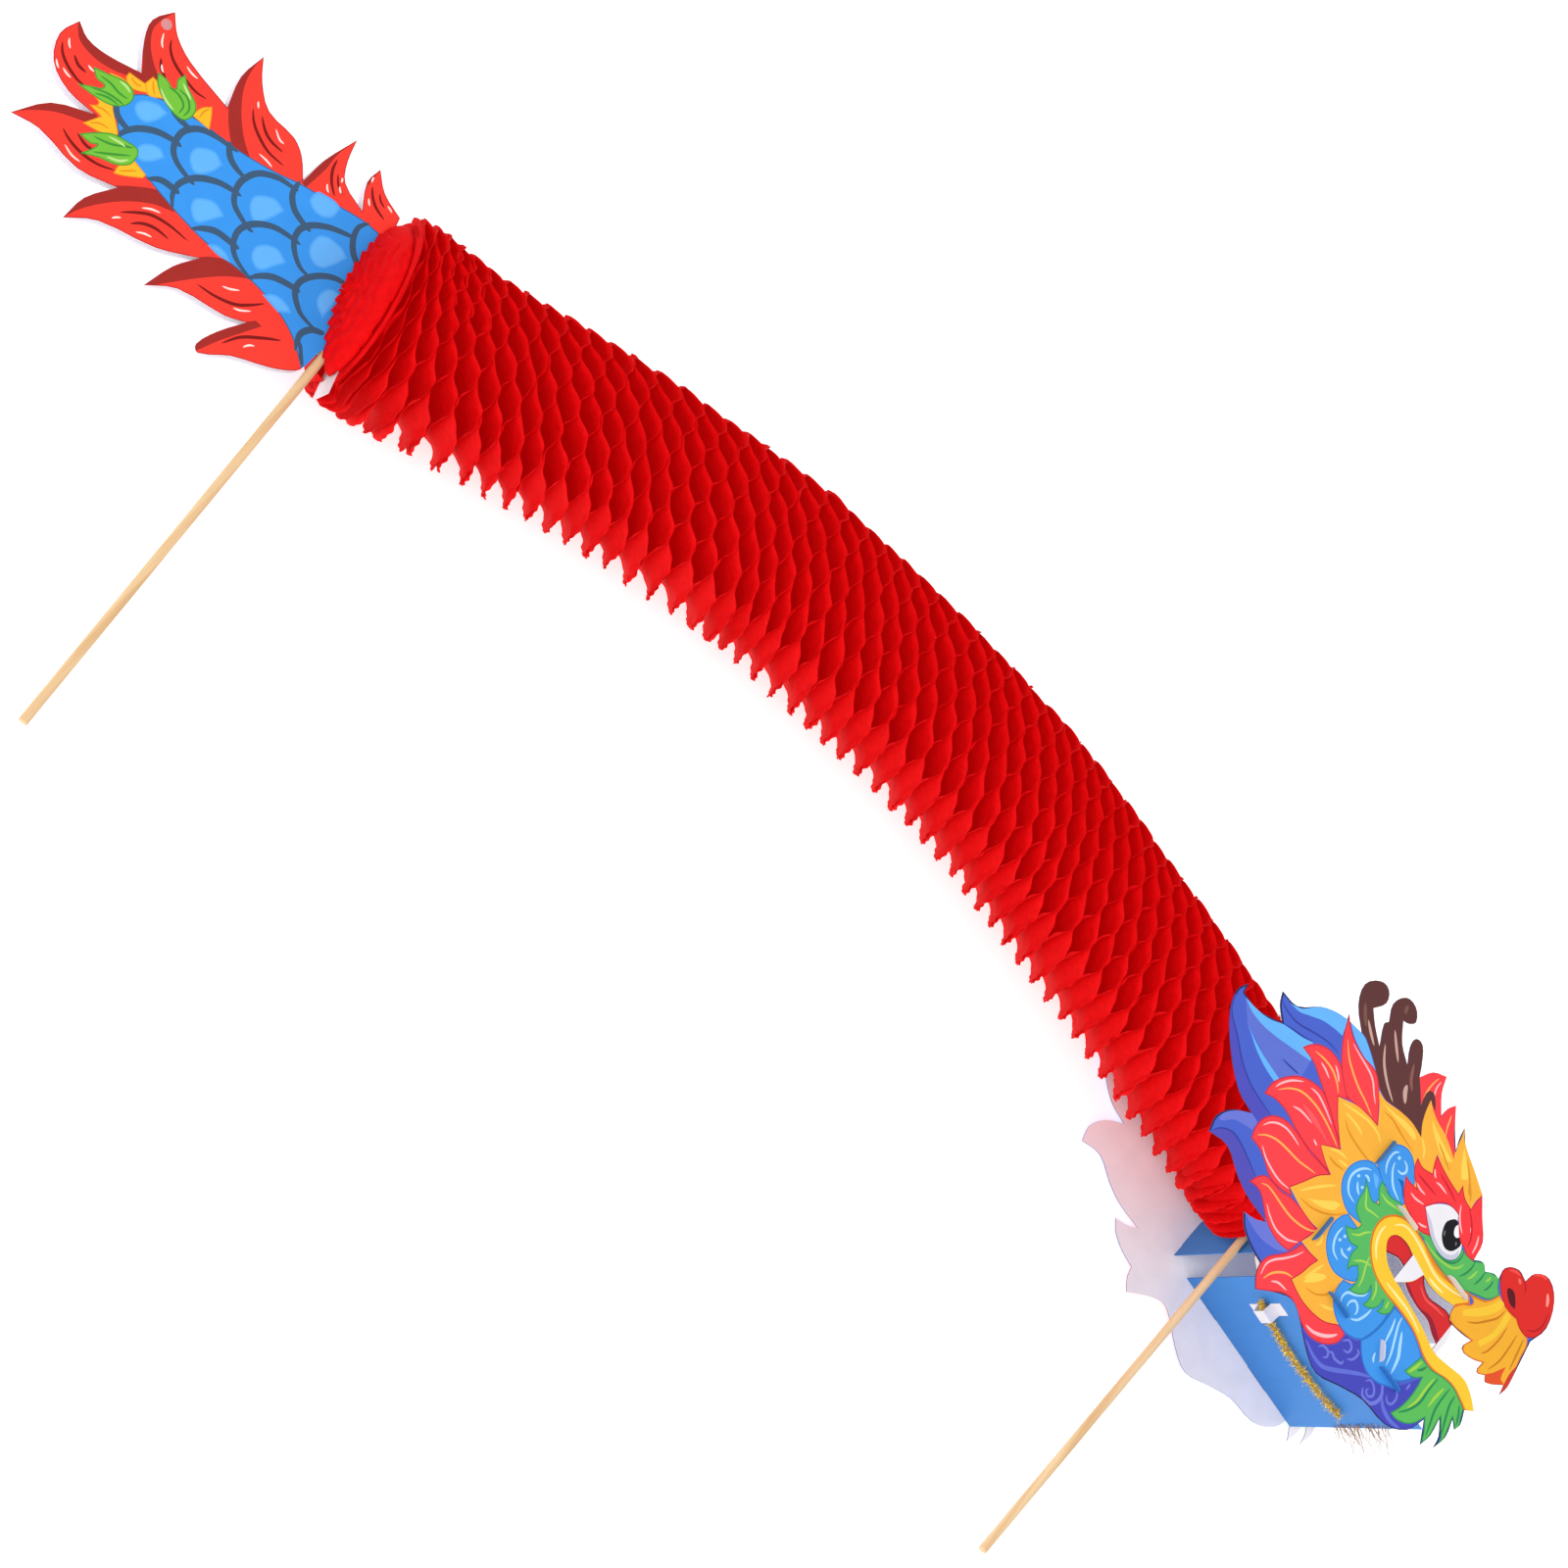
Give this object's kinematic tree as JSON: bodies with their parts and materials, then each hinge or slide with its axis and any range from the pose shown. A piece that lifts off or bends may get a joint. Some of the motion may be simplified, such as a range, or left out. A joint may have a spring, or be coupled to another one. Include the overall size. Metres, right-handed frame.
{
  "type": "dragon dance puppet",
  "caption": "Paper dragon-dance puppet: a printed card head and tail on wooden sticks, joined by a red honeycomb-tissue body that bends, stretches and twists.",
  "frame": {"origin": "on the lowest point, under the middle of the bounding box; the puppet lies on its left side", "axes": "+X forward from tail to head, +Y the dragon's own up (both sticks point to -Y), +Z its right side, which faces up"},
  "size_m": [1.0387, 0.4528, 0.12],
  "materials": {
    "printed_card": "printed in colour outside, plain white inside, satin",
    "tail_print": "printed in colour, satin",
    "blue_card": "printed blue outside, satin",
    "white_card": "plain white, matt",
    "tongue_card": "printed red, satin",
    "stick_wood": "plain turned wood, matt",
    "gold_tinsel": "fluffy metallic pile round a wire",
    "paper_tape": "matt",
    "straw_fibre": "coarse dry fibres",
    "red_tissue": "thin dyed tissue, slightly see-through",
    "clear_sticker": "clear film with a pale rim"
  },
  "bodies": {
    "head": {"head_panel_right": "printed_card", "head_panel_left": "printed_card", "neck_wall": "blue_card", "throat_floor": "blue_card", "palate": "white_card", "jaw_strip": "white_card", "tongue_right": "tongue_card", "tongue_left": "tongue_card", "head_stick": "stick_wood", "tinsel_stem": "gold_tinsel", "tinsel_tape": "paper_tape", "chin_fringe": "straw_fibre", "neck_disc": "white_card", "honeycomb_01": "red_tissue"},
    "body_02": {"honeycomb_02": "red_tissue"},
    "body_03": {"honeycomb_03": "red_tissue"},
    "body_04": {"honeycomb_04": "red_tissue"},
    "body_05": {"honeycomb_05": "red_tissue"},
    "body_06": {"honeycomb_06": "red_tissue"},
    "body_07": {"honeycomb_07": "red_tissue"},
    "body_08": {"honeycomb_08": "red_tissue"},
    "body_09": {"honeycomb_09": "red_tissue"},
    "body_10": {"honeycomb_10": "red_tissue"},
    "body_11": {"honeycomb_11": "red_tissue"},
    "body_12": {"honeycomb_12": "red_tissue"},
    "body_13": {"honeycomb_13": "red_tissue"},
    "tail": {"honeycomb_14": "red_tissue", "tail_disc": "white_card", "tail_card_right": "tail_print", "tail_card_left": "tail_print", "tail_stick": "stick_wood", "round_sticker": "clear_sticker"}
  },
  "joints": [
    {"name": "bend_01", "type": "hinge", "parent": "head", "child": "body_02", "pos_m": [0.31427, 0.12896, 0.06], "axis": [0, 0, 1], "range_deg": [-24, 24]},
    {"name": "bend_02", "type": "hinge", "parent": "body_02", "child": "body_03", "pos_m": [0.26398, 0.13424, 0.06], "axis": [0, 0, 1], "range_deg": [-24, 24]},
    {"name": "sway_03", "type": "hinge", "parent": "body_03", "child": "body_04", "pos_m": [0.21368, 0.13953, 0.06], "axis": [0.0872, 0.9962, 0], "range_deg": [-15, 15]},
    {"name": "stretch_04", "type": "slide", "parent": "body_04", "child": "body_05", "axis": [-0.9976, 0.0698, 0], "range_m": [-0.018, 0.02]},
    {"name": "bend_05", "type": "hinge", "parent": "body_05", "child": "body_06", "pos_m": [0.11279, 0.14659, 0.06], "axis": [0, 0, 1], "range_deg": [-24, 24]},
    {"name": "sway_06", "type": "hinge", "parent": "body_06", "child": "body_07", "pos_m": [0.06222, 0.1457, 0.06], "axis": [-0.048, 0.9988, 0], "range_deg": [-15, 15]},
    {"name": "bend_07", "type": "hinge", "parent": "body_07", "child": "body_08", "pos_m": [0.01181, 0.14173, 0.06], "axis": [0, 0, 1], "range_deg": [-24, 24]},
    {"name": "twist_08", "type": "hinge", "parent": "body_08", "child": "body_09", "pos_m": [-0.03827, 0.1347, 0.06], "axis": [0.9903, 0.1392, 0], "range_deg": [-30, 30]},
    {"name": "bend_09", "type": "hinge", "parent": "body_09", "child": "body_10", "pos_m": [-0.08835, 0.12766, 0.06], "axis": [0, 0, 1], "range_deg": [-24, 24]},
    {"name": "stretch_10", "type": "slide", "parent": "body_10", "child": "body_11", "axis": [-0.9613, -0.2756, 0], "range_m": [-0.018, 0.02]},
    {"name": "bend_11", "type": "hinge", "parent": "body_11", "child": "body_12", "pos_m": [-0.18558, 0.09978, 0.06], "axis": [0, 0, 1], "range_deg": [-24, 24]},
    {"name": "sway_12", "type": "hinge", "parent": "body_12", "child": "body_13", "pos_m": [-0.23279, 0.08166, 0.06], "axis": [-0.3502, 0.9367, 0], "range_deg": [-15, 15]},
    {"name": "bend_13", "type": "hinge", "parent": "body_13", "child": "tail", "pos_m": [-0.28031, 0.06436, 0.06], "axis": [0, 0, 1], "range_deg": [-24, 24]}
  ],
  "couplings": [
    {"joint": "stretch_10", "follows": "stretch_04", "ratio": 1}
  ]
}
